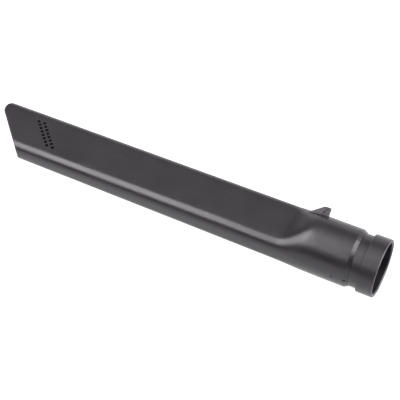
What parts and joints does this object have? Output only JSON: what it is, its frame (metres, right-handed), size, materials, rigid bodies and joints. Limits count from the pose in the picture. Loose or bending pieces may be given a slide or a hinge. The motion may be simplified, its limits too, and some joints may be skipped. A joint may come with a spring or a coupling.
{
  "type": "vacuum cleaner crevice nozzle",
  "caption": "Long flat suction nozzle with a slanted mouth and small bleed holes, turning into a round grooved connector with a locating fin.",
  "frame": {"origin": "centre of the connector's end face", "axes": "+X along the connector axis, pointing out of the connector (the mouth is towards -X); +Z normal to the upper wide face; +Y towards the narrow edge with the mouth's long corner; the locating fin stands between +Y and +Z"},
  "size_m": [0.2736, 0.036, 0.036],
  "materials": {
    "shell_plastic": "satin, fine moulded grain, charcoal grey",
    "collar_plastic": "satin, smoother moulded surface, charcoal grey"
  },
  "bodies": {
    "root": {"upper_shell": "shell_plastic", "lower_shell": "shell_plastic", "connector_collar": "collar_plastic", "locating_fin": "shell_plastic"}
  },
  "joints": []
}
